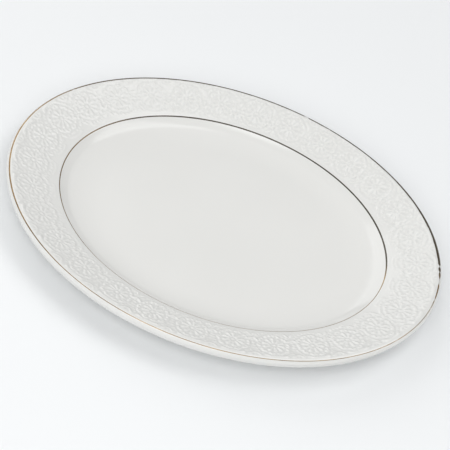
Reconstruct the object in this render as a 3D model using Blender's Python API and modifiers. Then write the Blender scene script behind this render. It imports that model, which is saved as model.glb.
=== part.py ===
"""Oval china serving platter: one pressed and fired body, its glaze and its two gilt lines.

Metres, +Z up.  The platter stands on its foot ring at z = 0 with its long axis along X.
Every piece is turned about Z at the platter's length and then squeezed in Y to its width,
so the oval rings all share one shape.  Sizes along the radius are those at the long ends.
"""

import math

import bpy

# Driving sizes
LENGTH = 0.360
WIDTH = 0.288
EDGE_HEIGHT = 0.027
VERGE_HEIGHT = 0.016
WELL_HEIGHT = 0.0085
RIM_WIDTH = 0.0437
CAVETTO_WIDTH = 0.019
EDGE_DEPTH = 0.0090
EDGE_ROUND = 0.0035
LIP_ROUND = 0.0030
LIP_UNDERCUT = 0.0008
RIM_THICKNESS = 0.0048
BASE_THICKNESS = 0.0055
FOOT_WIDTH = 0.0060
FOOT_INSET = 0.0060
FOOT_CHAMFER = 0.0004
BARE_FOOT = 0.0012
GLAZE_THICKNESS = 0.0004
GILT_THICKNESS = 0.0003
EDGE_GILT_WIDTH = 0.0014
VERGE_GILT_WIDTH = 0.0010
COAT_GAP = 0.00035

# Form of the curves, with angles in degrees above the outward level
CAVETTO_POWER = 1.8
EDGE_SLOPE = 18
EDGE_GILT_ANGLE = 58
LIP_TOP_ANGLE = -10
LIP_BOTTOM_ANGLE = -100
TURN_STEPS = 64
CAVETTO_STEPS = 5
RIM_STEPS = 4
ROUND_STEPS = 4
MERGE_DISTANCE = 0.00001

# Sizes that follow
EDGE_RADIUS = LENGTH / 2
VERGE_RADIUS = EDGE_RADIUS - RIM_WIDTH
WELL_RADIUS = VERGE_RADIUS - CAVETTO_WIDTH
FOOT_RADIUS = WELL_RADIUS - FOOT_INSET
RIM_RUN = RIM_WIDTH - EDGE_ROUND * (1 + math.sin(math.radians(EDGE_SLOPE)))
RIM_RISE = EDGE_HEIGHT - EDGE_ROUND * (1 - math.cos(math.radians(EDGE_SLOPE))) - VERGE_HEIGHT
RIM_LIFT = math.tan(math.radians(EDGE_SLOPE)) * RIM_RUN / RIM_RISE - 1
EDGE_CENTRE = (EDGE_RADIUS - EDGE_ROUND, EDGE_HEIGHT - EDGE_ROUND)
SQUEEZE = WIDTH / LENGTH
BODY_INSET = GLAZE_THICKNESS + COAT_GAP
RECESS_HEIGHT = WELL_HEIGHT - BASE_THICKNESS


def arc(centre, radius, start, end, steps):
    """Points round a centre, from one angle to another in degrees."""
    points = []
    for step in range(steps + 1):
        angle = math.radians(start + (end - start) * step / steps)
        x = centre[0] + radius * math.cos(angle)
        z = centre[1] + radius * math.sin(angle)
        points.append((x, z))
    return points


def offset(profile, distance):
    """The profile moved to its right by a distance: into the china along a surface."""
    normals = []
    for (x0, z0), (x1, z1) in zip(profile, profile[1:]):
        run = math.hypot(x1 - x0, z1 - z0)
        normals.append(((z1 - z0) / run, (x0 - x1) / run))
    moved = []
    for index, (x, z) in enumerate(profile):
        before = normals[max(index - 1, 0)]
        after = normals[min(index, len(normals) - 1)]
        mitre = 1 + before[0] * after[0] + before[1] * after[1]
        x += distance * (before[0] + after[0]) / mitre
        z += distance * (before[1] + after[1]) / mitre
        moved.append((x, z))
    return moved


def cavetto(radius_in, height_in, radius_out, height_out):
    """The hollow curve that climbs from the well's edge, steepest at the verge."""
    points = []
    for step in range(CAVETTO_STEPS + 1):
        t = step / CAVETTO_STEPS
        x = radius_in + (radius_out - radius_in) * t
        z = height_in + (height_out - height_in) * t**CAVETTO_POWER
        points.append((x, z))
    return points


def rim_height(radius):
    """Height of the rim's upper face, which lifts until it meets the edge at its slope."""
    t = (radius - VERGE_RADIUS) / RIM_RUN
    return VERGE_HEIGHT + RIM_RISE * ((1 - RIM_LIFT) * t + RIM_LIFT * t * t)


def rim_face():
    """The rim's upper face from just past the verge to just before the edge's round."""
    points = []
    for step in range(1, RIM_STEPS):
        x = VERGE_RADIUS + RIM_RUN * step / RIM_STEPS
        points.append((x, rim_height(x)))
    return points


def edge_round():
    """The rounded shoulder of the edge, from the rim's face to the outer face."""
    return arc(EDGE_CENTRE, EDGE_ROUND, 90 + EDGE_SLOPE, 0, ROUND_STEPS)


def underside():
    """The outer face's rounded foot, the rim's underside, and down to the foot ring."""
    x = EDGE_RADIUS - LIP_UNDERCUT - LIP_ROUND
    z = EDGE_HEIGHT - EDGE_DEPTH + LIP_ROUND
    points = arc((x, z), LIP_ROUND, LIP_TOP_ANGLE, LIP_BOTTOM_ANGLE, ROUND_STEPS - 1)
    verge = (VERGE_RADIUS, VERGE_HEIGHT - RIM_THICKNESS)
    climb = cavetto(FOOT_RADIUS + FOOT_CHAMFER, RECESS_HEIGHT, *verge)
    points += reversed(climb)
    points.append((FOOT_RADIUS, RECESS_HEIGHT - FOOT_CHAMFER))
    points.append((FOOT_RADIUS, BARE_FOOT))
    return points


def glazed_surface():
    """The whole glazed skin's outside, from the centre of the well round to the foot."""
    well = [(0, WELL_HEIGHT)]
    climb = cavetto(WELL_RADIUS, WELL_HEIGHT, VERGE_RADIUS, VERGE_HEIGHT)
    return well + climb + rim_face() + edge_round() + underside()


def base_surface():
    """The glazed hollow inside the foot ring, from its wall to the centre."""
    wall = FOOT_RADIUS - FOOT_WIDTH
    return [(wall, BARE_FOOT), (wall, RECESS_HEIGHT), (0, RECESS_HEIGHT)]


def body_profile():
    """The china under the glaze, with its bare foot ring down on the table."""
    outer = offset(glazed_surface(), BODY_INSET)
    inner = offset(base_surface(), BODY_INSET)
    foot_outer = outer[-1][0]
    foot_inner = inner[0][0]
    foot = [
        (foot_outer, FOOT_CHAMFER),
        (foot_outer - FOOT_CHAMFER, 0),
        (foot_inner + FOOT_CHAMFER, 0),
        (foot_inner, FOOT_CHAMFER),
    ]
    return outer + foot + inner


def skin_profile(surface):
    """A glaze skin along a surface, from the axis out to its free end and back."""
    buried = list(reversed(offset(surface, GLAZE_THICKNESS)))
    starts_on_axis = surface[0][0] == 0
    return surface + buried if starts_on_axis else buried + surface


def gilt_profile(line):
    """A closed band that follows the glaze along a short line, clear of it by the gap."""
    outer = offset(line, -COAT_GAP - GILT_THICKNESS)
    inner = offset(line, -COAT_GAP)
    return outer + list(reversed(inner))


def edge_gilt_line():
    """The line along the shoulder of the edge that the gold covers."""
    half = math.degrees(EDGE_GILT_WIDTH / EDGE_ROUND) / 2
    start = EDGE_GILT_ANGLE + half
    return arc(EDGE_CENTRE, EDGE_ROUND, start, start - 2 * half, ROUND_STEPS - 2)


def verge_gilt_line():
    """The line over the verge that the gold covers, half on each side of the crest."""
    half = VERGE_GILT_WIDTH / 2
    t = 1 - half / CAVETTO_WIDTH
    drop = (VERGE_HEIGHT - WELL_HEIGHT) * (1 - t**CAVETTO_POWER)
    inner = (VERGE_RADIUS - half, VERGE_HEIGHT - drop)
    outer = (VERGE_RADIUS + half, rim_height(VERGE_RADIUS + half))
    return [inner, (VERGE_RADIUS, VERGE_HEIGHT), outer]


def material(name, colour, roughness, metallic):
    made = bpy.data.materials.new(name)
    made.use_nodes = True
    shader = made.node_tree.nodes["Principled BSDF"]
    shader.inputs["Base Color"].default_value = (*colour, 1)
    shader.inputs["Roughness"].default_value = roughness
    shader.inputs["Metallic"].default_value = metallic
    return made


def turned(name, profile, closed, finish, collection):
    """One oval piece: its profile turned a full circle about Z and squeezed to the width."""
    points = [(x, 0, z) for x, z in profile]
    edges = [(index, index + 1) for index in range(len(points) - 1)]
    if closed:
        edges.append((len(points) - 1, 0))
    mesh = bpy.data.meshes.new(name)
    mesh.from_pydata(points, edges, [])
    mesh.materials.append(finish)
    piece = bpy.data.objects.new(name, mesh)
    collection.objects.link(piece)
    piece.scale = (1, SQUEEZE, 1)
    screw = piece.modifiers.new("turn", "SCREW")
    screw.axis = "Z"
    screw.angle = math.tau
    screw.steps = TURN_STEPS
    screw.render_steps = TURN_STEPS
    screw.use_merge_vertices = True
    screw.merge_threshold = MERGE_DISTANCE
    screw.use_smooth_shade = True
    return piece


def clear_scene():
    for item in list(bpy.data.objects):
        bpy.data.objects.remove(item, do_unlink=True)


def main():
    clear_scene()
    platter = bpy.data.collections.new("china_serving_platter")
    bpy.context.scene.collection.children.link(platter)
    bisque = material("bisque_china", (0.80, 0.78, 0.74), 0.70, 0)
    glaze = material("white_glaze", (0.78, 0.78, 0.76), 0.12, 0)
    gold = material("burnished_gold", (0.60, 0.44, 0.22), 0.25, 1)
    turned("china_body", body_profile(), False, bisque, platter)
    turned("upper_glaze", skin_profile(glazed_surface()), False, glaze, platter)
    turned("base_glaze", skin_profile(base_surface()), False, glaze, platter)
    turned("edge_gilding", gilt_profile(edge_gilt_line()), True, gold, platter)
    turned("verge_gilding", gilt_profile(verge_gilt_line()), True, gold, platter)


main()
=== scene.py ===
import math

import bmesh
import bpy
import numpy as np
from mathutils import Matrix, Vector


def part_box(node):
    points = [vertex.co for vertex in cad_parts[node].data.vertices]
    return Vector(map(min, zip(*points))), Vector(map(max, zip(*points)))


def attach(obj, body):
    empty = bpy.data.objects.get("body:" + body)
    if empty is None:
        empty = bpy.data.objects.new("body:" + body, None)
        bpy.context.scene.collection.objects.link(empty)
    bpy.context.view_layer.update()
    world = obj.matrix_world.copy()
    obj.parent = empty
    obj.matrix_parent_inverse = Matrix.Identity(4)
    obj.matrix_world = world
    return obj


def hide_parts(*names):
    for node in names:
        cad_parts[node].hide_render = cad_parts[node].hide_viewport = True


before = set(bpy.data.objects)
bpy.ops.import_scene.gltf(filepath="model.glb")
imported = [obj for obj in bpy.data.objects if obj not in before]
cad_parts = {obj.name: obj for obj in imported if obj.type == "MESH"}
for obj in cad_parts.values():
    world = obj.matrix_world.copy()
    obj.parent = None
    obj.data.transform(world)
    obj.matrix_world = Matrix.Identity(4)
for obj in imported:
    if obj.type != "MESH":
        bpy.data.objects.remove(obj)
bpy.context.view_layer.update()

MM = 0.001

# The coats: the glaze, the gap that keeps it off the body, and the china under the well
GLAZE = 0.4 * MM
COAT_GAP = 0.35 * MM
BASE_THICKNESS = 5.5 * MM

# Sizes taken from the frame
GLAZE_LOW, GLAZE_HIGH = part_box("upper_glaze")
END = GLAZE_HIGH.x
SQUEEZE = GLAZE_HIGH.y / GLAZE_HIGH.x
EDGE_TOP = GLAZE_HIGH.z
BARE_FOOT = GLAZE_LOW.z
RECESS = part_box("base_glaze")[1].z - GLAZE
WELL_FLOOR = RECESS + BASE_THICKNESS

# The platter's section, at its long ends; the slope is in degrees, and the step is the
# one from the glaze down to the bare foot
RIM_WIDTH = 43.7 * MM
CAVETTO_WIDTH = 19 * MM
VERGE_TOP = EDGE_TOP - 11 * MM
EDGE_DEPTH = 9 * MM
EDGE_ROUND = 3.5 * MM
EDGE_SLOPE = 18
LIP_ROUND = 3 * MM
LIP_UNDERCUT = 0.8 * MM
RIM_THICKNESS = 4.8 * MM
FOOT_WIDTH = 6 * MM
FOOT_INSET = 6 * MM
FOOT_ROUND = 0.8 * MM
FOOT_STEP = 0.08 * MM
FOOT_SOLE_ROUND = 0.7 * MM
CAVETTO_POWER = 1.8
VERGE_SOFTNESS = 1.6 * MM
WELL_SOFTNESS = 12 * MM

VERGE = END - RIM_WIDTH
WELL = VERGE - CAVETTO_WIDTH
FOOT = WELL - FOOT_INSET
EDGE_CENTRE = (END - EDGE_ROUND, EDGE_TOP - EDGE_ROUND)
SLOPE = math.radians(EDGE_SLOPE)
RIM_RUN = RIM_WIDTH - EDGE_ROUND * (1 + math.sin(SLOPE))
RIM_RISE = EDGE_TOP - EDGE_ROUND * (1 - math.cos(SLOPE)) - VERGE_TOP
RIM_LIFT = math.tan(SLOPE) * RIM_RUN / RIM_RISE - 1

# The two gold lines; the edge line's angle and swing are in degrees, on the edge's round
EDGE_GOLD_ANGLE = 60
EDGE_GOLD_SWING = 46
EDGE_GOLD_WIDTH = 0.5 * MM
EDGE_GOLD_FULLER = 4.0
EDGE_GOLD_INWARD = 1.0 * MM
VERGE_GOLD_REACH = 3 * MM
VERGE_GOLD_WIDTH = 0.56 * MM
VERGE_GOLD_FULLER = 1.5
GOLD_LIFT = 0.02 * MM
GOLD_THICKNESS = 0.05 * MM
GOLD_COLUMNS = 1440

# Where the rim's glaze meets the back's, under the edge gold
GLAZE_SEAM_ANGLE = EDGE_GOLD_ANGLE + 4

# How full the gold lines are round the oval, and how dark they are painted as a reflection: angles in
# degrees, and shares
FULL_AND_DARK_GOLD_ANGLES = (0, 12, 115, 150, 168, 205, 240, 350, 360)
FULL_AND_DARK_GOLD_SHARES = (0.4, 1, 1, 0.7, 0.4, 0.36, 0.06, 0, 0.4)

# Chips in the edge gold: an angle and a length in degrees, and the share of width lost
EDGE_CHIPS = (
    (3.0, 4.5, 0.9),
    (7.0, 1.2, 0.6),
    (9.5, 1.6, 0.9),
    (72.0, 1.0, 0.6),
    (79.3, 2.0, 0.95),
    (152.0, 1.2, 0.5),
    (331.0, 1.5, 0.5),
    (354.5, 1.6, 0.7),
)

# How steeply a chip's two ends break off; at 1 they slope all the way to its middle
CHIP_STEEPNESS = 1.6

# The lace border's named sizes, which its tree takes as inputs
LACE_SIZES = {
    "Repeats": 30,
    "Outline Length": END,
    "Outline Width": END * SQUEEZE,
    "Depth At Ends": 20.3 * MM,
    "Depth At Sides": 18.4 * MM,
    "Ring Start": math.radians(-3.0),
    "Flower Radius": 13.0 * MM,
    "Petals": 10,
    "Lumps": 20,
    "Beads": 30,
    "Relief": 0.86 * MM,
    "Softening": 4,
    "Relief At Left": 0.72,
    "Unevenness": 3.2 * MM,
    "Seed": 7,
}

# Half the way from one flower to the next, in flower radii
HALF_PITCH = 1.15

# How far two motifs swell into each other where they meet, in shares of the relief
MOTIF_BLEND = 0.12

# How many mesh steps the relief is averaged over, to tell its hollows from its heights
HOLLOW_REACH = 26

# How finely the meshes are cut
SECTORS = 6
RIM_COLUMNS = 2700
RIM_ROWS = 112
RIM_BACK_ROWS = 5
PLAIN_COLUMNS = 540
BODY_COLUMNS = 360
DOUBLED = 1e-7
SHARP_ANGLE = math.radians(40)

# Finishes, as linear colours
GLAZE_WHITE = (0.765, 0.765, 0.745, 1)
GLAZE_DRIFT = (0.75, 0.75, 0.73, 1)
# The relief's hollows: glaze pooled there, darkened further with painted shade
HOLLOW_GLAZE_AND_SHADE = (0.665, 0.67, 0.655, 1)
KILN_SPECK = (0.20, 0.17, 0.14, 1)
RUBBED_GOLD = (0.78, 0.76, 0.72, 1)
EDGE_GOLD_BRIGHT = (0.40, 0.275, 0.14, 1)
EDGE_GOLD_DARK = (0.21, 0.145, 0.08, 1)
# Painted dark reflection: the edge gold's colour where it reflects the dark room
EDGE_GOLD_PAINTED_REFLECTION = (0.082, 0.062, 0.040, 1)
VERGE_GOLD_BRIGHT = (0.38, 0.27, 0.15, 1)
VERGE_GOLD_DARK = (0.21, 0.15, 0.09, 1)
# Painted dark reflection: the verge gold's colour where it reflects the dark room
VERGE_GOLD_PAINTED_REFLECTION = (0.085, 0.074, 0.058, 1)
BISQUE_GREY = (0.74, 0.71, 0.66, 1)
BISQUE_PALE = (0.82, 0.79, 0.74, 1)
SHELF_RUB = (0.52, 0.50, 0.47, 1)
FLOOR_COOL = (0.85, 0.865, 0.875, 1)
FLOOR_PALE = (0.865, 0.88, 0.89, 1)

# The stage: the floor's half width, the room's light, and each lamp's place, size in
# metres and power in watts
FLOOR_REACH = 6.0
ROOM_LIGHT = 0.26
LAMPS = {
    "window_light": ((-1.47, 1.47, 1.2), 2.6, 22),
    "front_softbox": ((0, -1.7, 1.7), 2.0, 31),
    "left_fill": ((-1.6, -1.3, 1.2), 2.0, 10),
    "right_fill": ((2.08, 0, 1.2), 2.0, 7),
    "back_light": ((0.9, 0.6, 2.2), 1.6, 14),
}

# The view
VIEW_AIM = (2.5 * MM, -18.6 * MM, EDGE_TOP - 0.5 * MM)
VIEW_AZIMUTH = math.radians(-88.15)
VIEW_ELEVATION = math.radians(45.10)
VIEW_ROLL = math.radians(19.47)
VIEW_DISTANCE = 1.101
VIEW_LENS = 112.1


# ---------------------------------------------------------------- sections

def arc(centre, radius, start, end, steps):
    """Points on a round, from one angle to another, in degrees."""
    angles = np.radians(np.linspace(start, end, steps + 1))
    x = centre[0] + radius * np.cos(angles)
    z = centre[1] + radius * np.sin(angles)
    return list(zip(x, z))


def cavetto(inner, outer, steps):
    """The hollow curve that climbs from one point to another, steepest at its end."""
    t = np.linspace(0, 1, steps + 1)
    x = inner[0] + (outer[0] - inner[0]) * t
    z = inner[1] + (outer[1] - inner[1]) * t**CAVETTO_POWER
    return list(zip(x, z))


def rim_height(radius):
    t = (radius - VERGE) / RIM_RUN
    return VERGE_TOP + RIM_RISE * ((1 - RIM_LIFT) * t + RIM_LIFT * t * t)


def softened(before, after, reach):
    """Two stretches that meet at a corner, joined by a curve that starts a reach away."""
    corner = np.array(before[-1])
    before = [p for p in before if np.hypot(*(np.array(p) - corner)) > reach]
    after = [p for p in after if np.hypot(*(np.array(p) - corner)) > reach]
    start, end = np.array(before[-1]), np.array(after[0])
    t = np.linspace(0, 1, 9)[1:-1, None]
    curve = (1 - t) ** 2 * start + 2 * t * (1 - t) * corner + t**2 * end
    return before + [tuple(p) for p in curve] + after


def resampled(profile, count):
    """The profile with its points spread evenly along its length."""
    points = np.array(profile)
    run = np.r_[0, np.cumsum(np.hypot(*np.diff(points, axis=0).T))]
    at = np.linspace(0, run[-1], count)
    return np.c_[np.interp(at, run, points[:, 0]), np.interp(at, run, points[:, 1])]


def tangents(profile):
    step = np.gradient(np.asarray(profile, float), axis=0)
    return step / np.hypot(step[:, 0], step[:, 1])[:, None]


def offset(profile, distance):
    """The profile moved to its right: into the china along an outer surface."""
    points = np.asarray(profile, float)
    along = tangents(points)
    return points + distance * np.c_[along[:, 1], -along[:, 0]]


def face_profile():
    """The well, the cavetto and the rim, up to the top of the edge's round."""
    floor = [(x, WELL_FLOOR) for x in np.linspace(0, WELL, 24)]
    climb = cavetto((WELL, WELL_FLOOR), (VERGE, VERGE_TOP), 60)
    rim = [(x, rim_height(x)) for x in np.linspace(VERGE, VERGE + RIM_RUN, 160)]
    bowl = softened(floor, climb, WELL_SOFTNESS)
    return softened(bowl, rim, VERGE_SOFTNESS)


def split_at(profile, radius):
    """The profile in two, sharing its point nearest to a radius."""
    at = int(np.argmin([abs(x - radius) for x, _ in profile]))
    return profile[: at + 1], profile[at:]


def back_profile():
    """From under the gold line over the outer face and the lip, and in to the foot ring."""
    shoulder = arc(EDGE_CENTRE, EDGE_ROUND, GLAZE_SEAM_ANGLE, 0, 10)
    x = END - LIP_UNDERCUT - LIP_ROUND
    z = EDGE_TOP - EDGE_DEPTH + LIP_ROUND
    lip = arc((x, z), LIP_ROUND, -8, -100, 12)
    climb = cavetto((FOOT + FOOT_ROUND, RECESS), (VERGE, VERGE_TOP - RIM_THICKNESS), 24)
    foot = arc((FOOT + FOOT_ROUND, RECESS - FOOT_ROUND), FOOT_ROUND, 90, 180, 6)[1:]
    return shoulder + lip + climb[::-1] + foot + [(FOOT, BARE_FOOT)]


# ---------------------------------------------------------------- meshes

def even_angles(count):
    """Angles whose points stand evenly along the oval."""
    fine = np.linspace(0, math.tau, 20001)
    step = np.hypot(np.diff(END * np.cos(fine)), np.diff(END * SQUEEZE * np.sin(fine)))
    run = np.r_[0, np.cumsum(step)]
    return np.interp(np.arange(count) * run[-1] / count, run, fine)


def turned_points(profile, angles):
    """Rows of points, one row for each angle, of a profile turned round the oval."""
    points = np.asarray(profile, float)
    x = np.outer(np.cos(angles), points[:, 0])
    y = np.outer(np.sin(angles), points[:, 0]) * SQUEEZE
    z = np.tile(points[:, 1], (len(angles), 1))
    return np.stack([x, y, z], -1)


def turned_normals(profile, angles):
    along = tangents(profile)
    x = np.outer(np.cos(angles), -along[:, 1])
    y = np.outer(np.sin(angles), -along[:, 1]) / SQUEEZE
    z = np.tile(along[:, 0], (len(angles), 1))
    normals = np.stack([x, y, z], -1)
    return normals / np.linalg.norm(normals, axis=-1, keepdims=True)


def grid_faces(rows, columns, closed_rows, closed_columns, start=0):
    """Quads over a grid of points stored row by row, whose rows run round the oval."""
    r = np.arange(rows if closed_rows else rows - 1)
    c = np.arange(columns if closed_columns else columns - 1)
    r0, c0 = [a.ravel() for a in np.meshgrid(r, c, indexing="ij")]
    r1, c1 = (r0 + 1) % rows, (c0 + 1) % columns
    faces = np.c_[r0 * columns + c0, r0 * columns + c1, r1 * columns + c1, r1 * columns + c0]
    return faces + start


def new_piece(name, points, faces, material):
    mesh = bpy.data.meshes.new(name)
    mesh.from_pydata(np.reshape(points, (-1, 3)), [], faces)
    mesh.validate()
    mesh.materials.append(material)
    piece = bpy.data.objects.new(name, mesh)
    bpy.context.scene.collection.objects.link(piece)
    return piece


def close_up(piece):
    """Merges doubled points, turns the faces outwards and shades them smooth."""
    work = bmesh.new()
    work.from_mesh(piece.data)
    bmesh.ops.remove_doubles(work, verts=work.verts, dist=DOUBLED)
    bmesh.ops.recalc_face_normals(work, faces=work.faces)
    work.to_mesh(piece.data)
    work.free()
    piece.data.shade_smooth()
    piece.data.set_sharp_from_angle(angle=SHARP_ANGLE)
    return piece


def turned_piece(name, profile, material, columns=PLAIN_COLUMNS, on_axis=True):
    """A closed piece from a section that starts and ends on the axis, or is a loop."""
    points = turned_points(profile, even_angles(columns))
    faces = grid_faces(columns, len(profile), True, not on_axis)
    return close_up(new_piece(name, points, faces.tolist(), material))


# ---------------------------------------------------------------- node trees

class Graph:
    """Adds nodes to a tree and wires them from names and values."""

    def __init__(self, tree):
        self.tree = tree

    def add(self, kind, inputs=None, **settings):
        node = self.tree.nodes.new(kind)
        for name, value in settings.items():
            setattr(node, name, value)
        for name, value in (inputs or {}).items():
            self.feed(node.inputs[name], value)
        return node

    def feed(self, socket, value):
        if isinstance(value, bpy.types.NodeSocket):
            self.tree.links.new(value, socket)
        else:
            socket.default_value = value

    def math(self, operation, a, b):
        return self.add("ShaderNodeMath", {0: a, 1: b}, operation=operation).outputs[0]

    def vector_math(self, operation, a, b):
        return self.add("ShaderNodeVectorMath", {0: a, 1: b}, operation=operation).outputs[0]

    def scaled(self, vector, by):
        inputs = {0: vector, "Scale": by}
        return self.add("ShaderNodeVectorMath", inputs, operation="SCALE").outputs[0]


# ---------------------------------------------------------------- lace border

class Lace(Graph):
    """The border's tree.  Its motifs are drawn in lines and dots round one flower, sized
    in flower radii, with X along the rim and Y towards the well."""

    def __init__(self, tree):
        super().__init__(tree)
        self.given = self.add("NodeGroupInput").outputs
        self.centres = self.flower_centres()
        self.along_rim = self.facing()

    def vector(self, x=0.0, y=0.0, z=0.0):
        return self.add("ShaderNodeCombineXYZ", {"X": x, "Y": y, "Z": z}).outputs[0]

    def radii(self, count):
        return self.math("MULTIPLY", self.given["Flower Radius"], count)

    def read(self, name, kind="FLOAT"):
        inputs = {"Name": name}
        return self.add("GeometryNodeInputNamedAttribute", inputs, data_type=kind).outputs[0]

    def position(self):
        return self.add("GeometryNodeInputPosition").outputs[0]

    def tangent(self):
        return self.add("GeometryNodeInputTangent").outputs[0]

    # Shapes

    def dot(self, x=0.0, y=0.0):
        point = self.add("GeometryNodeMeshLine", {"Count": 1, "Offset": (0, 0, 0)}).outputs[0]
        return self.moved(point, x, y)

    def spoke(self, start, end):
        ends = {"Start": self.vector(y=self.radii(start)), "End": self.vector(y=self.radii(end))}
        return self.add("GeometryNodeCurvePrimitiveLine", ends).outputs[0]

    def link(self, radius, start, sweep):
        inputs = {
            "Resolution": 10,
            "Radius": self.radii(radius),
            "Start Angle": math.radians(start),
            "Sweep Angle": math.radians(sweep),
        }
        return self.add("GeometryNodeCurveArc", inputs).outputs[0]

    def bent(self, start, start_lean, end_lean, end, steps=14):
        """A free curved line through two points, leaning towards two others."""
        inputs = {"Resolution": steps}
        named = {"Start": start, "Start Handle": start_lean, "End Handle": end_lean, "End": end}
        for name, (x, y) in named.items():
            inputs[name] = self.vector(self.radii(x), self.radii(y))
        return self.add("GeometryNodeCurvePrimitiveBezierSegment", inputs).outputs[0]

    def moved(self, shape, x=0.0, y=0.0, turn=0.0):
        inputs = {
            "Geometry": shape,
            "Translation": self.vector(self.radii(x), self.radii(y)),
            "Rotation": (0, 0, turn),
        }
        return self.add("GeometryNodeTransform", inputs).outputs[0]

    def leaf(self, x, y, turn):
        return self.moved(self.spoke(-0.10, 0.10), x, y, turn)

    # Repeats

    def copied(self, shape, points, rotation):
        inputs = {"Points": points, "Instance": shape, "Rotation": rotation}
        placed = self.add("GeometryNodeInstanceOnPoints", inputs).outputs[0]
        return self.add("GeometryNodeRealizeInstances", {0: placed}).outputs[0]

    def around(self, shape, count, turn=0.0):
        """The shape repeated in a ring about the flower's centre."""
        middle = self.add("GeometryNodeMeshLine", {"Count": count, "Offset": (0, 0, 0)}).outputs[0]
        index = self.add("GeometryNodeInputIndex").outputs[0]
        step = self.math("DIVIDE", math.tau, count)
        angle = self.math("ADD", self.math("MULTIPLY", index, step), turn)
        return self.copied(shape, middle, self.vector(z=angle))

    def set_round(self, parts):
        """The parts together, repeated at every flower centre round the rim."""
        join = self.add("GeometryNodeJoinGeometry")
        for part in parts:
            self.tree.links.new(part, join.inputs[0])
        return self.copied(join.outputs[0], self.centres, self.along_rim)

    def flower_centres(self):
        """Points spaced evenly along the outline and then moved in from it."""
        given = self.given
        circle = self.add("GeometryNodeCurvePrimitiveCircle", {"Resolution": 360, "Radius": 1.0})
        turn = {"Geometry": circle.outputs[0], "Rotation": self.vector(z=given["Ring Start"])}
        started = self.add("GeometryNodeTransform", turn).outputs[0]
        outline = self.vector(given["Outline Length"], given["Outline Width"], 1.0)
        oval = self.add("GeometryNodeTransform", {"Geometry": started, "Scale": outline}).outputs[0]
        inputs = {"Curve": oval, "Count": given["Repeats"]}
        spaced = self.add("GeometryNodeResampleCurve", inputs).outputs[0]
        inward = self.vector_math("CROSS_PRODUCT", (0, 0, 1), self.tangent())
        on_circle = self.vector_math("DIVIDE", self.position(), outline)
        across = self.add("ShaderNodeSeparateXYZ", {0: on_circle}).outputs["Y"]
        inputs = {
            "Value": self.math("POWER", across, 2.0),
            "To Min": given["Depth At Ends"],
            "To Max": given["Depth At Sides"],
        }
        depth = self.add("ShaderNodeMapRange", inputs).outputs[0]
        inputs = {"Geometry": spaced, "Offset": self.scaled(inward, depth)}
        return self.add("GeometryNodeSetPosition", inputs).outputs[0]

    def facing(self):
        """The turn that lays a motif's X along the rim."""
        inputs = {"Vector": self.tangent()}
        kind = "FunctionNodeAlignRotationToVector"
        return self.add(kind, inputs, axis="X", pivot_axis="Z").outputs[0]

    # Heights

    def faded(self, value, start, end, low, high):
        """Eases from low to high while the value goes from start to end."""
        inputs = {"Value": value, "From Min": start, "From Max": end, "To Min": low, "To Max": high}
        return self.add("ShaderNodeMapRange", inputs, interpolation_type="SMOOTHSTEP").outputs[0]

    def swelled(self, height, other):
        """The higher of two heights, blended where they meet."""
        inputs = {0: height, 1: other, 2: MOTIF_BLEND}
        return self.add("ShaderNodeMath", inputs, operation="SMOOTH_MAX").outputs[0]

    def distance(self, drawn, where, kind="POINTS"):
        inputs = {"Geometry": drawn, "Sample Position": where}
        near = self.add("GeometryNodeProximity", inputs, target_element=kind)
        return near.outputs["Distance"]

    def seeded_noise(self, where, scale):
        inputs = {"Vector": where, "W": self.given["Seed"], "Scale": scale, "Detail": 2.0}
        return self.add("ShaderNodeTexNoise", inputs, noise_dimensions="4D").outputs

    def blurred(self, value, steps):
        inputs = {"Value": value, "Iterations": steps}
        return self.add("GeometryNodeBlurAttribute", inputs, data_type="FLOAT").outputs[0]

    def stored(self, geometry, name, value):
        inputs = {"Geometry": geometry, "Name": name, "Value": value}
        kind = "GeometryNodeStoreNamedAttribute"
        return self.add(kind, inputs, data_type="FLOAT", domain="POINT").outputs[0]


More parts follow.
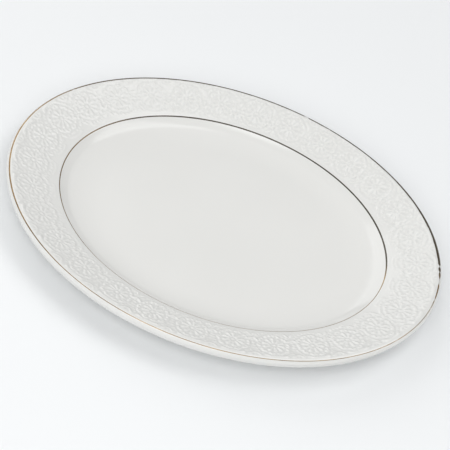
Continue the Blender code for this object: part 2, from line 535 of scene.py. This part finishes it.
def lace_families(lace):
    """The motifs of one flower and of the gap after it, in families.  Each family: lines
    or dots, its parts, its half width in flower radii and its height."""
    given = lace.given
    half = HALF_PITCH
    petals = lace.around(lace.spoke(0.27, 0.60), given["Petals"])
    petal_tips = lace.around(lace.dot(0, 0.56), given["Petals"])
    lumps = lace.around(lace.dot(0, 0.86), given["Lumps"], math.pi / LACE_SIZES["Lumps"])
    link = lace.moved(lace.link(0.10, -10, 200), 0, 0.84)
    links = lace.around(link, given["Petals"], math.pi / LACE_SIZES["Petals"])
    beads = lace.around(lace.dot(0, 1.16), given["Beads"])
    shell = lace.bent((-0.58, -1.06), (-0.34, -1.30), (0.34, -1.30), (0.58, -1.06))
    flutes = []
    for k in range(-3, 4):
        low, high = (0.15 * k, -1.02), (0.21 * k, -1.36)
        flutes.append(lace.bent(low, (0.16 * k, -1.12), (0.18 * k, -1.22), high, steps=4))
    swag_dip = (half + 0.02, -0.74), (half + 0.22, -0.74)
    swag = lace.bent((half - 0.22, -1.06), *swag_dip, (half + 0.46, -1.06))
    fan = [lace.leaf(half + 0.12 + 0.17 * k, -1.16, -0.45 * k) for k in (-1, 0, 1)]
    leaves = [lace.leaf(half + 0.15 * k, 0.46, 0.9 * k) for k in (-1, 1)]
    low_leaves = [lace.leaf(half - 0.12 + 0.17 * k, 0.98, -0.7 * k) for k in (-1, 1)]
    smile = lace.bent((-0.46, 1.33), (-0.22, 1.47), (0.22, 1.47), (0.46, 1.33))
    dot_places = (half + 0.12, -0.93), (half - 0.05, 0.32), (half - 0.12, 0.80)
    small_dots = [lace.dot(x, y) for x, y in dot_places]
    return (
        ("POINTS", [lace.dot()], 0.140, 0.95),
        ("POINTS", [petal_tips], 0.160, 0.88),
        ("EDGES", [petals], 0.110, 0.78),
        ("EDGES", [links] + flutes + fan, 0.070, 0.75),
        ("EDGES", [shell], 0.200, 1.10),
        ("EDGES", leaves, 0.150, 0.95),
        ("EDGES", [swag] + low_leaves, 0.095, 0.82),
        ("EDGES", [smile], 0.130, 0.40),
        ("POINTS", [lumps], 0.112, 0.85),
        ("POINTS", [beads] + small_dots, 0.088, 0.70),
    )


def swayed_position(lace):
    """Each point's place in plan, swayed a little, so that no two motifs are alike."""
    position = lace.position()
    noise = lace.seeded_noise(position, 110.0)["Color"]
    sway = lace.vector_math("SUBTRACT", noise, (0.5, 0.5, 0.5))
    swayed = lace.vector_math("ADD", position, lace.scaled(sway, lace.given["Unevenness"]))
    return lace.vector_math("MULTIPLY", swayed, (1, 1, 0))


def raised_motifs(lace, where):
    """How high the motifs stand, by how near each point lies to their lines and dots."""
    heights = []
    for kind, parts, half_width, lift in lace_families(lace):
        drawn = lace.set_round(parts)
        if kind == "EDGES":
            drawn = lace.add("GeometryNodeCurveToMesh", {"Curve": drawn}).outputs[0]
        near = lace.distance(drawn, where, kind)
        heights.append(lace.faded(near, 0.0, lace.radii(half_width), lift, 0.0))
    height = heights[0]
    for other in heights[1:]:
        height = lace.swelled(height, other)
    return height


def with_ground(lace, height, where):
    """Adds pips on raised ground between the flowers, a low cushion under each flower,
    and a small pit between each two."""
    from_flower = lace.distance(lace.set_round([lace.dot()]), where)
    from_pit = lace.distance(lace.set_round([lace.dot(HALF_PITCH, -0.54)]), where)

    def by_radii(distance, start, end, low, high):
        return lace.faded(distance, lace.radii(start), lace.radii(end), low, high)

    cells = lace.add("ShaderNodeTexVoronoi", {"Vector": where, "Scale": 320.0, "Randomness": 0.85})
    pips = lace.faded(cells.outputs["Distance"], 0.12, 0.50, 0.42, 0.0)
    pips = lace.math("MULTIPLY", pips, by_radii(from_flower, 0.95, 1.10, 0.9, 1.0))
    ground = lace.math("ADD", pips, by_radii(from_flower, 1.04, 1.20, 0.0, 0.16))
    ground = lace.math("MULTIPLY", ground, by_radii(from_flower, 1.25, 1.55, 1.0, 0.0))
    height = lace.swelled(height, ground)
    height = lace.math("ADD", height, by_radii(from_flower, 0.90, 1.04, 0.20, 0.0))
    return lace.math("MULTIPLY", height, by_radii(from_pit, 0.08, 0.24, 0.0, 1.0))


def fitted_to_rim(lace, height, where):
    """Leaves plain bands beside the two gold lines, and presses the rest unevenly."""
    inset = lace.read("inset")
    height = lace.math("MULTIPLY", height, lace.faded(inset, 0.050, 0.085, 0.0, 1.0))
    height = lace.math("MULTIPLY", height, lace.faded(inset, 0.88, 0.95, 1.0, 0.0))
    uneven = lace.seeded_noise(where, 38.0)[0]
    height = lace.math("MULTIPLY", height, lace.faded(uneven, 0.2, 0.8, 0.8, 1.15))
    x = lace.add("ShaderNodeSeparateXYZ", {0: lace.position()}).outputs["X"]
    return lace.math("MULTIPLY", height, lace.faded(x, -END, 0.0, lace.given["Relief At Left"], 1.0))


def lace_interface(tree):
    """The tree's sockets; gives back its inputs by name."""
    sockets = {}
    tree.interface.new_socket("Surface", in_out="INPUT", socket_type="NodeSocketGeometry")
    for name, value in LACE_SIZES.items():
        kind = "NodeSocketInt" if isinstance(value, int) else "NodeSocketFloat"
        sockets[name] = tree.interface.new_socket(name, in_out="INPUT", socket_type=kind)
    finish = tree.interface.new_socket("Finish", in_out="INPUT", socket_type="NodeSocketMaterial")
    sockets["Finish"] = finish
    tree.interface.new_socket("Surface", in_out="OUTPUT", socket_type="NodeSocketGeometry")
    return sockets


def lace_tree():
    """Raises the lace border from the surface it is given, and stores how hollow it is."""
    tree = bpy.data.node_groups.new("lace_border", "GeometryNodeTree")
    sockets = lace_interface(tree)
    lace = Lace(tree)
    where = swayed_position(lace)
    height = with_ground(lace, raised_motifs(lace, where), where)
    height = fitted_to_rim(lace, height, where)
    relief = lace.blurred(height, lace.given["Softening"])
    hollow = lace.math("SUBTRACT", lace.blurred(relief, HOLLOW_REACH), relief)
    kept = lace.stored(lace.given["Surface"], "relief", relief)
    kept = lace.stored(kept, "hollow", hollow)
    lift = lace.math("MULTIPLY", lace.read("relief"), lace.given["Relief"])
    push = lace.scaled(lace.read("outward", "FLOAT_VECTOR"), lift)
    raised = lace.add("GeometryNodeSetPosition", {"Geometry": kept, "Offset": push})
    real = lace.add("GeometryNodeRealizeInstances", {0: raised.outputs[0]})
    inputs = {"Geometry": real.outputs[0], "Material": lace.given["Finish"]}
    finished = lace.add("GeometryNodeSetMaterial", inputs)
    lace.add("NodeGroupOutput", {0: finished.outputs[0]})
    return tree, sockets


def press_border(blank, material):
    """Runs the border's tree over a blank rim and gives the shaped rim as a plain mesh."""
    tree, sockets = lace_tree()
    border = blank.modifiers.new("lace_border", "NODES")
    border.node_group = tree
    for name, value in LACE_SIZES.items():
        border[sockets[name].identifier] = value
    border[sockets["Finish"].identifier] = material
    shaped = blank.evaluated_get(bpy.context.evaluated_depsgraph_get())
    mesh = bpy.data.meshes.new_from_object(shaped)
    blank.modifiers.remove(border)
    return mesh


def embossed_points(profile, angles, material):
    """The rim's grid of points, raised by the border's tree, and how hollow it is there."""
    points = turned_points(profile, angles)
    columns, rows = points.shape[:2]
    faces = grid_faces(columns, rows, True, False).tolist()
    blank = new_piece("rim_blank", points, faces, material)
    run = np.r_[0, np.cumsum(np.hypot(*np.diff(profile, axis=0).T))]
    outward = blank.data.attributes.new("outward", "FLOAT_VECTOR", "POINT")
    outward.data.foreach_set("vector", turned_normals(profile, angles).ravel())
    inset = blank.data.attributes.new("inset", "FLOAT", "POINT")
    inset.data.foreach_set("value", np.tile(1 - run / run[-1], columns))
    mesh = press_border(blank, material)
    raised = np.zeros(len(mesh.vertices) * 3)
    mesh.vertices.foreach_get("co", raised)
    hollow = np.zeros(len(mesh.vertices))
    mesh.attributes["hollow"].data.foreach_get("value", hollow)
    bpy.data.objects.remove(blank)
    bpy.data.meshes.remove(mesh)
    return raised.reshape(columns, rows, 3), hollow.reshape(columns, rows)


def grid_normals(points):
    """Smooth normals over a grid of points that closes on itself round the oval."""
    round_oval = np.roll(points, -1, axis=0) - np.roll(points, 1, axis=0)
    across = np.gradient(points, axis=1)
    normals = np.cross(across, round_oval)
    return normals / np.linalg.norm(normals, axis=-1, keepdims=True)


def slab_faces(columns, rows, back_rows):
    """The faces of a closed slab: its top, its back, its two long sides and its ends."""
    start = columns * rows
    last_back = start + columns * back_rows - 1
    back = grid_faces(columns, back_rows, False, False, start)[:, ::-1]
    faces = grid_faces(columns, rows, False, False).tolist() + back.tolist()
    c = np.arange(columns - 1)
    for row, back_row, turn in ((0, 0, 1), (rows - 1, back_rows - 1, -1)):
        side = np.c_[
            c * rows + row,
            (c + 1) * rows + row,
            start + (c + 1) * back_rows + back_row,
            start + c * back_rows + back_row,
        ]
        faces += side[:, ::turn].tolist()
    first_end = list(range(rows)) + list(range(start + back_rows - 1, start - 1, -1))
    last_end = list(range(start - rows, start))
    last_end += list(range(last_back, last_back - back_rows, -1))
    return faces + [first_end[::-1], last_end]


def shade_top(mesh, normals, top_faces):
    """Gives the slab's top faces smooth normals, point by point, and leaves the rest flat."""
    mesh.shade_smooth()
    corner_point = np.zeros(len(mesh.loops), np.int64)
    mesh.loops.foreach_get("vertex_index", corner_point)
    corner_face = np.repeat(np.arange(len(mesh.polygons)), [p.loop_total for p in mesh.polygons])
    face_normals = np.zeros(len(mesh.polygons) * 3)
    mesh.polygons.foreach_get("normal", face_normals)
    corner_normals = face_normals.reshape(-1, 3)[corner_face]
    on_top = corner_face < top_faces
    corner_normals[on_top] = normals[corner_point[on_top]]
    mesh.normals_split_custom_set(corner_normals)


def rim_sector(name, points, normals, hollow, underneath, material):
    """One closed slab of the border: the embossed face, its plain back and its sides."""
    columns, rows = points.shape[:2]
    back_rows = underneath.shape[1]
    all_points = np.vstack([points.reshape(-1, 3), underneath.reshape(-1, 3)])
    piece = new_piece(name, all_points, slab_faces(columns, rows, back_rows), material)
    value = piece.data.attributes.new("hollow", "FLOAT", "POINT")
    value.data.foreach_set("value", np.r_[hollow.ravel(), np.zeros(back_rows * columns)])
    shade_top(piece.data, normals.reshape(-1, 3), (columns - 1) * (rows - 1))
    return piece


# ---------------------------------------------------------------- materials

def new_material(name):
    material = bpy.data.materials.new(name)
    material.use_nodes = True
    return material, Graph(material.node_tree), material.node_tree.nodes["Principled BSDF"]


def place(graph):
    return graph.add("ShaderNodeTexCoord").outputs["Object"]


def noise(graph, scale, detail=2.0, roughness=0.5):
    inputs = {"Vector": place(graph), "Scale": scale, "Detail": detail, "Roughness": roughness}
    return graph.add("ShaderNodeTexNoise", inputs).outputs[0]


def between(graph, value, low, high, to_low=0.0, to_high=1.0):
    """The value's way from low to high, laid out from one number to another."""
    inputs = {"Value": value, "From Min": low, "From Max": high, "To Min": to_low, "To Max": to_high}
    return graph.add("ShaderNodeMapRange", inputs).outputs[0]


def mixed(graph, factor, first, second):
    """Two colours mixed; the colour sockets share their names, so they go by number."""
    node = graph.add("ShaderNodeMix", {0: factor, 6: first, 7: second}, data_type="RGBA")
    return node.outputs[2]


def bumped(graph, height, distance, strength):
    inputs = {"Height": height, "Distance": distance, "Strength": strength}
    return graph.add("ShaderNodeBump", inputs).outputs[0]


def glaze_skin_group():
    """The glaze's slow drift of tone, its few specks and its faint ripple."""
    tree = bpy.data.node_groups.new("glaze_skin", "ShaderNodeTree")
    face = tree.interface
    face.new_socket("Tint", in_out="INPUT", socket_type="NodeSocketColor")
    face.new_socket("Drift", in_out="INPUT", socket_type="NodeSocketColor")
    face.new_socket("Speck Amount", in_out="INPUT", socket_type="NodeSocketFloat")
    face.new_socket("Colour", in_out="OUTPUT", socket_type="NodeSocketColor")
    face.new_socket("Ripple", in_out="OUTPUT", socket_type="NodeSocketFloat")
    face.new_socket("Sheen Map", in_out="OUTPUT", socket_type="NodeSocketFloat")
    graph = Graph(tree)
    given = graph.add("NodeGroupInput").outputs
    slow = between(graph, noise(graph, 9.0, detail=3.0), 0.35, 0.65)
    colour = mixed(graph, slow, given["Tint"], given["Drift"])
    inputs = {"Vector": place(graph), "Scale": 42.0, "Randomness": 1.0}
    cells = graph.add("ShaderNodeTexVoronoi", inputs).outputs
    lot = graph.add("ShaderNodeSeparateColor", {0: cells["Color"]}).outputs[0]
    rare = graph.math("GREATER_THAN", lot, 0.985)
    tiny = between(graph, cells["Distance"], 0.008, 0.016, 1.0, 0.0)
    speck = graph.math("MULTIPLY", graph.math("MULTIPLY", rare, tiny), given["Speck Amount"])
    colour = mixed(graph, speck, colour, KILN_SPECK)
    fine_ripple = graph.math("MULTIPLY", noise(graph, 260.0), 0.25)
    ripple = graph.math("ADD", noise(graph, 55.0), fine_ripple)
    sheen = between(graph, noise(graph, 24.0, detail=4.0, roughness=0.6), 0.3, 0.7)
    graph.add("NodeGroupOutput", {"Colour": colour, "Ripple": ripple, "Sheen Map": sheen})
    return tree


def glaze_material(name, skin_group, pooled_and_shade=None):
    """White gloss glaze over china; where a colour for the hollows is given, it darkens the
    relief's hollows with painted shade, and with glaze pooled there."""
    material, graph, shader = new_material(name)
    coat = graph.add("ShaderNodeGroup", node_tree=skin_group)
    coat.inputs["Tint"].default_value = GLAZE_WHITE
    coat.inputs["Drift"].default_value = GLAZE_DRIFT
    coat.inputs["Speck Amount"].default_value = 0.8
    colour = coat.outputs["Colour"]
    if pooled_and_shade:
        # Painted shade: the relief's hollows take the darker colour
        hollow = graph.add("ShaderNodeAttribute", attribute_name="hollow").outputs["Fac"]
        colour = mixed(graph, between(graph, hollow, -0.05, 0.28), colour, pooled_and_shade)
    roughness = between(graph, coat.outputs["Sheen Map"], 0.0, 1.0, 0.11, 0.17)
    ripple = bumped(graph, coat.outputs["Ripple"], 0.05 * MM, 0.6)
    graph.feed(shader.inputs["Base Color"], colour)
    graph.feed(shader.inputs["Roughness"], roughness)
    graph.feed(shader.inputs["Normal"], ripple)
    shader.inputs["IOR"].default_value = 1.5
    shader.inputs["Specular IOR Level"].default_value = 0.5
    return material


def gold_material(name, wear, bright, dark, painted_reflection_colour):
    """Fired gold, burnished unevenly, rubbed thin in places so the glaze shows, and painted
    dark brown and made less metallic where the line is full, as a painted dark reflection."""
    material, graph, shader = new_material(name)
    tone = between(graph, noise(graph, 60.0, detail=4.0, roughness=0.6), 0.3, 0.7)
    full = graph.add("ShaderNodeAttribute", attribute_name="fullness_and_dark_reflection").outputs["Fac"]
    fullness_and_dark_reflection = graph.math("ADD", full, graph.math("MULTIPLY", tone, 0.12))
    # Painted dark reflection: darker, less metallic gold where the fullness share is high
    painted_dark = between(graph, fullness_and_dark_reflection, 0.48, 0.88)
    rubbed = between(graph, noise(graph, 420.0, detail=5.0, roughness=0.7), wear, wear + 0.05)
    patchy = between(graph, noise(graph, 16.0), 0.5, 0.62)
    worn = graph.math("MULTIPLY", rubbed, patchy)
    colour = mixed(graph, tone, dark, bright)
    colour = mixed(graph, painted_dark, colour, painted_reflection_colour)
    colour = mixed(graph, worn, colour, RUBBED_GOLD)
    shine = between(graph, painted_dark, 0.0, 1.0, 0.9, 0.45)
    metal = graph.math("MULTIPLY", shine, graph.math("SUBTRACT", 1.0, worn))
    roughness = between(graph, noise(graph, 140.0, detail=3.0), 0.2, 0.8, 0.26, 0.46)
    graph.feed(shader.inputs["Base Color"], colour)
    graph.feed(shader.inputs["Metallic"], metal)
    graph.feed(shader.inputs["Roughness"], roughness)
    graph.feed(shader.inputs["Normal"], bumped(graph, noise(graph, 900.0), 0.02 * MM, 0.5))
    return material


def bisque_material():
    """The bare foot: fine matt grain, with grey rubs from shelves."""
    material, graph, shader = new_material("bare_bisque")
    grain = noise(graph, 1800.0, detail=3.0, roughness=0.6)
    rub = between(graph, noise(graph, 70.0, detail=5.0, roughness=0.7), 0.52, 0.68)
    colour = mixed(graph, rub, mixed(graph, grain, BISQUE_GREY, BISQUE_PALE), SHELF_RUB)
    graph.feed(shader.inputs["Base Color"], colour)
    graph.feed(shader.inputs["Roughness"], between(graph, grain, 0.0, 1.0, 0.62, 0.85))
    graph.feed(shader.inputs["Normal"], bumped(graph, grain, 0.08 * MM, 0.8))
    return material


# ---------------------------------------------------------------- pieces

def finish_piece(piece, node):
    """Hides the CAD node that the piece shows and hangs the piece on the root body; nothing here
    moves.
    """
    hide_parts(node)
    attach(piece, "root")


def skin(profile):
    """A glaze coat's section: its surface, and back again under it."""
    return np.vstack([profile, offset(profile, GLAZE)[::-1]])


def build_border(profile, material):
    """The embossed part of the rim, in sectors that share their end points."""
    angles = even_angles(RIM_COLUMNS)
    even = resampled(profile, RIM_ROWS)
    points, hollow = embossed_points(even, angles, material)
    normals = grid_normals(points)
    below = turned_points(resampled(offset(even, GLAZE), RIM_BACK_ROWS), angles)
    span = RIM_COLUMNS // SECTORS
    for sector in range(SECTORS):
        pick = np.arange(sector * span, (sector + 1) * span + 1) % RIM_COLUMNS
        name = f"embossed_rim_{sector + 1}"
        piece = rim_sector(name, points[pick], normals[pick], hollow[pick], below[pick], material)
        finish_piece(piece, "upper_glaze")


def build_glaze(face_glaze, rim_glaze):
    """The glaze over the face, in a well and a border, and over the edge and the back."""
    well, rim = split_at(face_profile(), VERGE)
    shoulder = arc(EDGE_CENTRE, EDGE_ROUND, 90 + EDGE_SLOPE - 3, GLAZE_SEAM_ANGLE, 12)
    build_border(rim + shoulder, rim_glaze)
    piece = turned_piece("well_glaze", skin(well), face_glaze)
    finish_piece(piece, "upper_glaze")
    piece = turned_piece("edge_and_back_glaze", skin(back_profile()), face_glaze, on_axis=False)
    finish_piece(piece, "upper_glaze")


def build_base(glaze):
    """The glaze in the recess inside the foot ring."""
    wall = FOOT - FOOT_WIDTH
    corner = arc((wall - FOOT_ROUND, RECESS - FOOT_ROUND), FOOT_ROUND, 0, 90, 6)
    flat = [(x, RECESS) for x in np.linspace(wall * 0.95, 0, 12)]
    surface = [(wall, BARE_FOOT)] + corner + flat
    section = np.vstack([offset(surface, GLAZE)[::-1], surface])
    piece = turned_piece("base_glaze_coat", section, glaze)
    finish_piece(piece, "base_glaze")


def build_body(bisque):
    """The fired china under the coats, which comes out flush at the bare foot ring."""
    inset = GLAZE + COAT_GAP
    face = offset(face_profile()[::3], inset).tolist()
    edge_round = arc(EDGE_CENTRE, EDGE_ROUND, 90, 66, 3)
    back = offset(edge_round + back_profile(), inset).tolist()
    back = [p for p in back if p[1] > BARE_FOOT + 0.1 * MM]
    outer_wall = FOOT - FOOT_STEP
    inner_wall = FOOT - FOOT_WIDTH + FOOT_STEP
    top = BARE_FOOT - 0.05 * MM
    ceiling = RECESS + inset
    sole = FOOT_SOLE_ROUND
    foot = [(back[-1][0], top), (outer_wall, top)]
    foot += arc((outer_wall - sole, sole), sole, 0, -90, 5)
    foot += arc((inner_wall + sole, sole), sole, -90, -180, 5)
    foot += [(inner_wall, top), (inner_wall + inset, top), (inner_wall + inset, ceiling), (0, ceiling)]
    piece = turned_piece("fired_body", face + back + foot, bisque, columns=BODY_COLUMNS)
    finish_piece(piece, "china_body")


def wander(angles, seed, waves):
    """Small waves round the oval, added up, between -1 and 1."""
    source = np.random.default_rng(seed)
    total = np.zeros_like(angles)
    for count in waves:
        total += np.sin(angles * count + source.uniform(0, math.tau)) * source.uniform(0.4, 1)
    return total / len(waves)


def brushed(angles, full_and_dark_side, width, seed, chips, fuller, inward):
    """The hand-brushed line's half width and slip to one side, at each angle."""
    reach = 1 + 0.10 * wander(angles, seed, (3, 7, 13, 29, 61))
    reach += 0.05 * wander(angles, seed + 1, (97, 151, 211))
    reach *= 1 + fuller * full_and_dark_side
    slip = 0.06 * width * wander(angles, seed + 2, (5, 11, 17, 41)) - inward * full_and_dark_side
    for at, length, lost in chips:
        away = np.abs((np.degrees(angles) - at + 180) % 360 - 180) / (length / 2)
        reach *= 1 - lost * np.clip(CHIP_STEEPNESS * (1 - away), 0, 1)
    return reach * width / 2, slip


def crowned_bands(section, half_widths, slips):
    """A loop of points across the line at each angle: a low crown over a flat back."""
    fine = np.asarray(section, float)
    run = np.r_[0, np.cumsum(np.hypot(*np.diff(fine, axis=0).T))]
    normal = np.c_[-tangents(fine)[:, 1], tangents(fine)[:, 0]]
    across = np.linspace(-1, 1, 7)
    crown = 1 - across**2
    bands = []
    for half, slip in zip(half_widths, slips):
        at = run[-1] / 2 + slip + across * half
        base = np.c_[np.interp(at, run, fine[:, 0]), np.interp(at, run, fine[:, 1])]
        out = np.c_[np.interp(at, run, normal[:, 0]), np.interp(at, run, normal[:, 1])]
        top = base + out * (GOLD_LIFT + GOLD_THICKNESS * crown[:, None])
        under = base - out * GOLD_LIFT
        bands.append(np.vstack([top, under[::-1]]))
    return np.array(bands)


def gold_line(name, section, width, material, seed, chips=(), fuller=0.0, inward=0.0):
    """A thin gold line along the middle of a short section, whose width wavers and which
    is fuller and further in on one side, where it is also marked for painted dark reflection."""
    angles = even_angles(GOLD_COLUMNS)
    full_and_dark_side = np.interp(np.degrees(angles), FULL_AND_DARK_GOLD_ANGLES, FULL_AND_DARK_GOLD_SHARES)
    bands = crowned_bands(section, *brushed(angles, full_and_dark_side, width, seed, chips, fuller, inward))
    x = bands[:, :, 0] * np.cos(angles)[:, None]
    y = bands[:, :, 0] * np.sin(angles)[:, None] * SQUEEZE
    points = np.stack([x, y, bands[:, :, 1]], -1)
    faces = grid_faces(GOLD_COLUMNS, points.shape[1], True, True)
    piece = new_piece(name, points, faces.tolist(), material)
    # Where the line is full, the gold is also painted dark, as a reflection
    value = piece.data.attributes.new("fullness_and_dark_reflection", "FLOAT", "POINT")
    value.data.foreach_set("value", np.repeat(full_and_dark_side, points.shape[1]))
    return close_up(piece)


def build_edge_gold():
    gold = gold_material("edge_gold", 0.62, EDGE_GOLD_BRIGHT, EDGE_GOLD_DARK, EDGE_GOLD_PAINTED_REFLECTION)
    start, end = EDGE_GOLD_ANGLE + EDGE_GOLD_SWING, EDGE_GOLD_ANGLE - EDGE_GOLD_SWING
    piece = gold_line(
        "edge_gold_line",
        arc(EDGE_CENTRE, EDGE_ROUND, start, end, 46),
        EDGE_GOLD_WIDTH,
        gold,
        seed=3,
        chips=EDGE_CHIPS,
        fuller=EDGE_GOLD_FULLER,
        inward=EDGE_GOLD_INWARD,
    )
    finish_piece(piece, "edge_gilding")


def build_verge_gold():
    gold = gold_material("verge_gold", 0.66, VERGE_GOLD_BRIGHT, VERGE_GOLD_DARK, VERGE_GOLD_PAINTED_REFLECTION)
    bend = [p for p in face_profile() if abs(p[0] - VERGE) < VERGE_GOLD_REACH]
    piece = gold_line(
        "verge_gold_line",
        resampled(bend, 40),
        VERGE_GOLD_WIDTH,
        gold,
        seed=11,
        fuller=VERGE_GOLD_FULLER,
    )
    finish_piece(piece, "verge_gilding")


# ---------------------------------------------------------------- stage

def build_floor():
    material, graph, shader = new_material("pale_floor")
    tone = between(graph, noise(graph, 1.5), 0.3, 0.7)
    graph.feed(shader.inputs["Base Color"], mixed(graph, tone, FLOOR_COOL, FLOOR_PALE))
    shader.inputs["Roughness"].default_value = 0.7
    reach = FLOOR_REACH
    corners = [(-reach, -reach, 0), (reach, -reach, 0), (reach, reach, 0), (-reach, reach, 0)]
    new_piece("pale_floor", corners, [(0, 1, 2, 3)], material)


def build_light():
    """An even room, and soft round lamps that all face the platter."""
    world = bpy.data.worlds.new("soft_room")
    world.use_nodes = True
    room = world.node_tree.nodes["Background"]
    room.inputs["Color"].default_value = (1, 1, 1, 1)
    room.inputs["Strength"].default_value = ROOM_LIGHT
    bpy.context.scene.world = world
    for name, (spot, size, power) in LAMPS.items():
        light = bpy.data.lights.new(name, "AREA")
        light.shape = "DISK"
        light.size = size
        light.energy = power
        lamp = bpy.data.objects.new(name, light)
        lamp.location = spot
        lamp.rotation_euler = (-Vector(spot)).to_track_quat("-Z", "Y").to_euler()
        bpy.context.scene.collection.objects.link(lamp)


def build_camera():
    """The view over the platter's near side, tilted so its long axis falls away."""
    lens = bpy.data.cameras.new("view")
    lens.sensor_width = 36
    lens.lens = VIEW_LENS
    lens.clip_start = 0.05
    level = math.cos(VIEW_ELEVATION)
    x, y = math.cos(VIEW_AZIMUTH) * level, math.sin(VIEW_AZIMUTH) * level
    back = Vector((x, y, math.sin(VIEW_ELEVATION)))
    turn = (-back).to_track_quat("-Z", "Y").to_matrix().to_4x4()
    turn = turn @ Matrix.Rotation(VIEW_ROLL, 4, "Z")
    camera = bpy.data.objects.new("view", lens)
    camera.matrix_world = Matrix.Translation(Vector(VIEW_AIM) + back * VIEW_DISTANCE) @ turn
    bpy.context.scene.collection.objects.link(camera)
    bpy.context.scene.camera = camera
    bpy.context.scene.view_settings.view_transform = "Standard"


def main():
    skin_group = glaze_skin_group()
    face_glaze = glaze_material("white_glaze", skin_group)
    rim_glaze = glaze_material("lace_glaze", skin_group, pooled_and_shade=HOLLOW_GLAZE_AND_SHADE)
    build_glaze(face_glaze, rim_glaze)
    build_base(face_glaze)
    build_body(bisque_material())
    build_edge_gold()
    build_verge_gold()
    build_floor()
    build_light()
    build_camera()


main()
